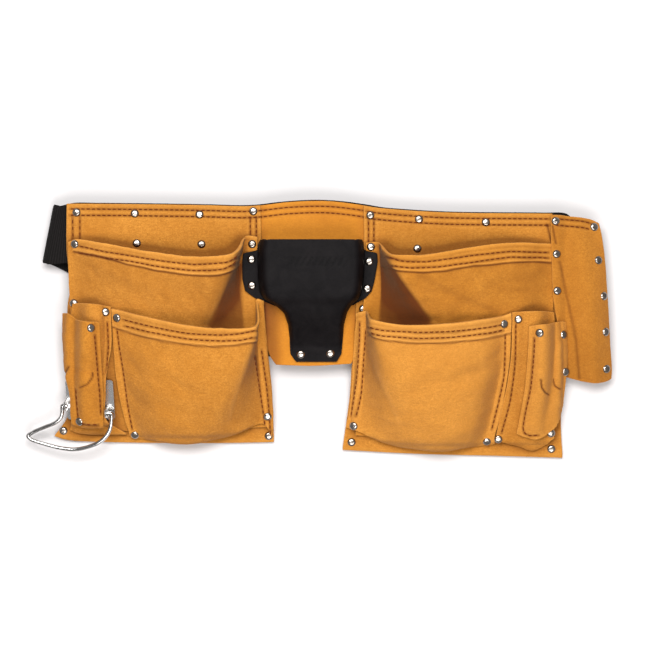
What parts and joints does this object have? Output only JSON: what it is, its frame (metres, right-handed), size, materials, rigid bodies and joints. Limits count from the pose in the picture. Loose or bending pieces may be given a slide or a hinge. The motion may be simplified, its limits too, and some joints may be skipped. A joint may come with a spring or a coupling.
{
  "type": "tool belt",
  "caption": "Leather tool belt with nested tool pouches, a black tape holder, a steel hammer loop and a webbing waist strap with a clip buckle.",
  "frame": {"origin": "centre of the bounding box's base: the belt lies on its back on this surface", "axes": "+X along the waist towards the buckle side, +Y towards the waist edge, +Z out of the pockets, away from the wearer"},
  "size_m": [0.5908, 0.2597, 0.0811],
  "materials": {
    "suede": "golden tan split leather, matt and napped",
    "smooth_leather": "tan leather with a smooth matt face",
    "black_leather": "black leather with a soft sheen",
    "webbing": "ribbed black webbing",
    "black_plastic": "black moulded plastic",
    "steel": "bright plated steel",
    "nickel": "nickel-plated rivet caps"
  },
  "bodies": {
    "belt": {"buckle_female": "black_plastic", "centre_panel": "smooth_leather", "hammer_plate": "steel", "left_back_panel": "suede", "left_lower_pocket": "suede", "left_pencil_sleeve": "suede", "left_side_pocket": "suede", "left_upper_pocket": "suede", "right_back_panel": "suede", "right_lower_pocket": "suede", "right_pencil_sleeve": "suede", "right_side_pocket": "suede", "right_upper_pocket": "suede", "rivet_holder_1": "nickel", "rivet_holder_2": "nickel", "rivet_holder_3": "nickel", "rivet_holder_4": "nickel", "rivet_holder_5": "nickel", "rivet_holder_6": "nickel", "rivet_left_1": "nickel", "rivet_left_2": "nickel", "rivet_left_3": "nickel", "rivet_left_4": "nickel", "rivet_left_5": "nickel", "rivet_right_1": "nickel", "rivet_right_2": "nickel", "rivet_right_3": "nickel", "rivet_right_4": "nickel", "rivet_right_5": "nickel", "rivet_right_6": "nickel", "rivet_waist_1": "nickel", "rivet_waist_10": "nickel", "rivet_waist_11": "nickel", "rivet_waist_2": "nickel", "rivet_waist_3": "nickel", "rivet_waist_4": "nickel", "rivet_waist_5": "nickel", "rivet_waist_6": "nickel", "rivet_waist_7": "nickel", "rivet_waist_8": "nickel", "rivet_waist_9": "nickel", "rivet_wing_1": "nickel", "rivet_wing_2": "nickel", "rivet_wing_3": "nickel", "rivet_wing_4": "nickel", "rivet_wing_5": "nickel", "rivet_wing_6": "nickel", "rivet_wing_7": "nickel", "tape_holder": "black_leather", "waist_webbing": "webbing", "wing_back": "suede", "wing_front": "suede"},
    "hammer_loop": {"hammer_loop": "steel"},
    "buckle_male": {"buckle_male": "black_plastic", "strap_loop": "webbing"},
    "buckle_arm_a": {"buckle_arm_a": "black_plastic"},
    "buckle_arm_b": {"buckle_arm_b": "black_plastic"},
    "tri_glide": {"tri_glide": "black_plastic"}
  },
  "joints": [
    {"name": "hammer_loop_swing", "type": "hinge", "parent": "belt", "child": "hammer_loop", "pos_m": [-0.25485, -0.07713, 0.02329], "axis": [-0.9806, 0.1654, -0.1052], "range_deg": [0, 55]},
    {"name": "buckle_release", "type": "slide", "parent": "belt", "child": "buckle_male", "axis": [0.9345, 0.3559, 0], "range_m": [0, 0.03]},
    {"name": "buckle_arm_a_squeeze", "type": "hinge", "parent": "buckle_male", "child": "buckle_arm_a", "pos_m": [0.126, 0.0466, 0.00805], "axis": [0, 0, 1], "range_deg": [0, 12], "stiffness_Nm_per_rad": 0.05},
    {"name": "buckle_arm_b_squeeze", "type": "hinge", "parent": "buckle_male", "child": "buckle_arm_b", "pos_m": [0.14166, 0.00549, 0.00805], "axis": [0, 0, -1], "range_deg": [0, 12], "stiffness_Nm_per_rad": 0.05},
    {"name": "tri_glide_slide", "type": "slide", "parent": "belt", "child": "tri_glide", "axis": [0.9345, 0.3559, 0], "range_m": [-0.003, 0.008]}
  ],
  "couplings": [
    {"joint": "buckle_arm_b_squeeze", "follows": "buckle_arm_a_squeeze", "ratio": 1}
  ]
}
